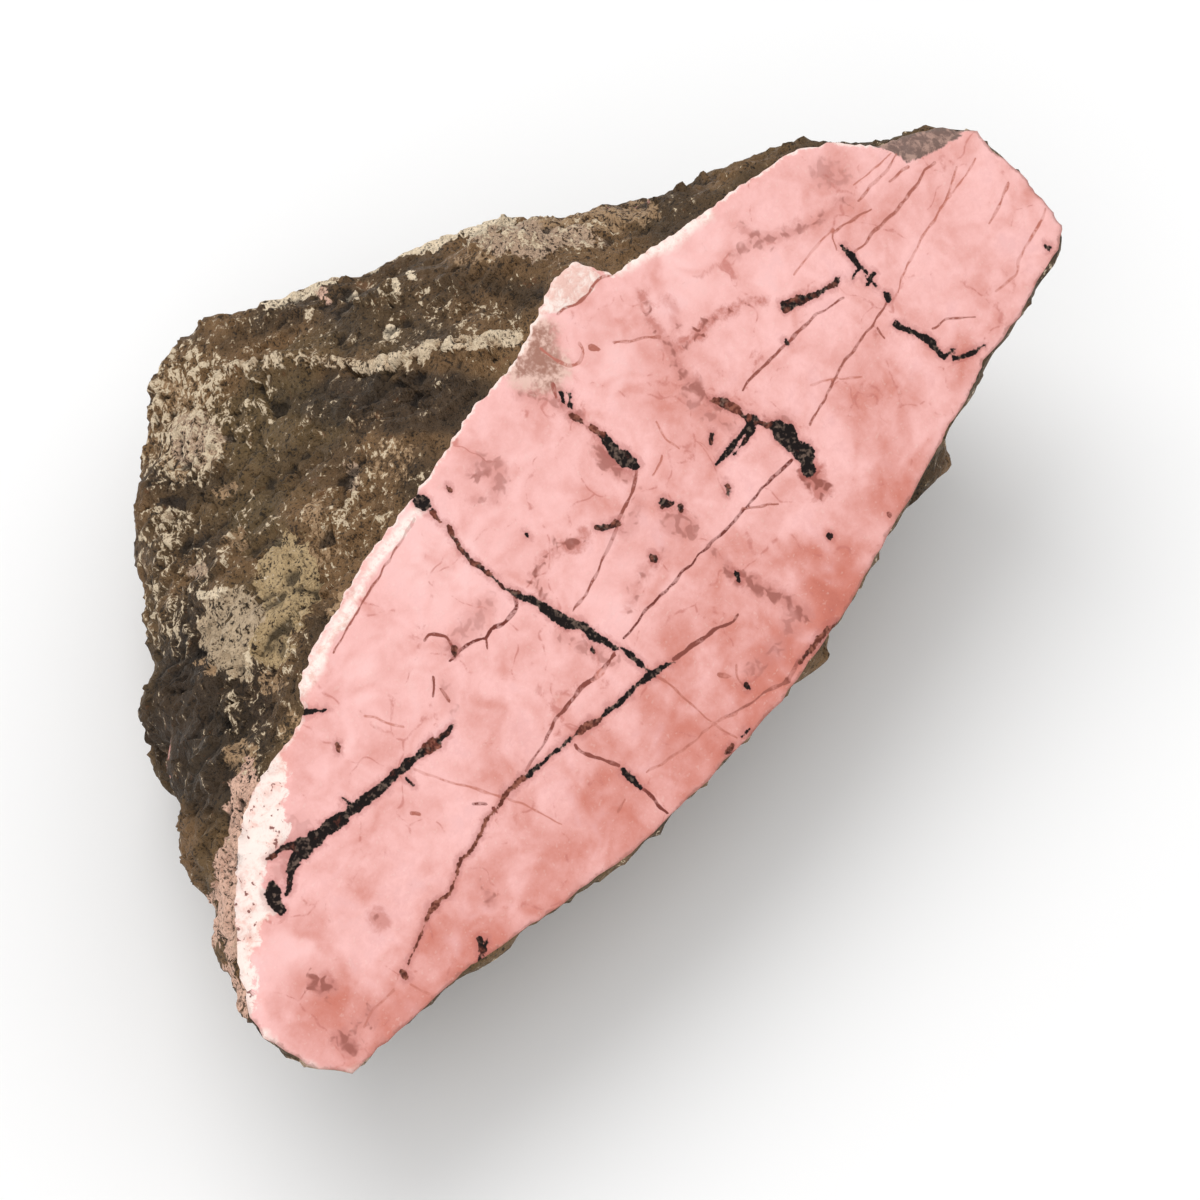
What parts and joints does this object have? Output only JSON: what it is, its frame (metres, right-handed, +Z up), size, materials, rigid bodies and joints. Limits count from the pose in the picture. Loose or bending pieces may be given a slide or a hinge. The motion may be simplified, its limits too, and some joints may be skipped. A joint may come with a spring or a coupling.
{
  "type": "rough rhodonite stone",
  "caption": "Broken stone of rough rhodonite with one flat sawn face, dark weathered crust and a rough underside that it rests on.",
  "frame": {"origin": "on the surface that the stone rests on, under the middle of its box", "axes": "+X along the long axis of the sawn face, +Z up; the sawn face leans towards -Y and looks up"},
  "size_m": [0.0924, 0.059, 0.0359],
  "materials": {
    "rhodonite": "pink sawn face with black manganese veins; dull dark olive-brown broken crust"
  },
  "bodies": {
    "root": {"rhodonite_stone": "rhodonite"}
  },
  "joints": []
}
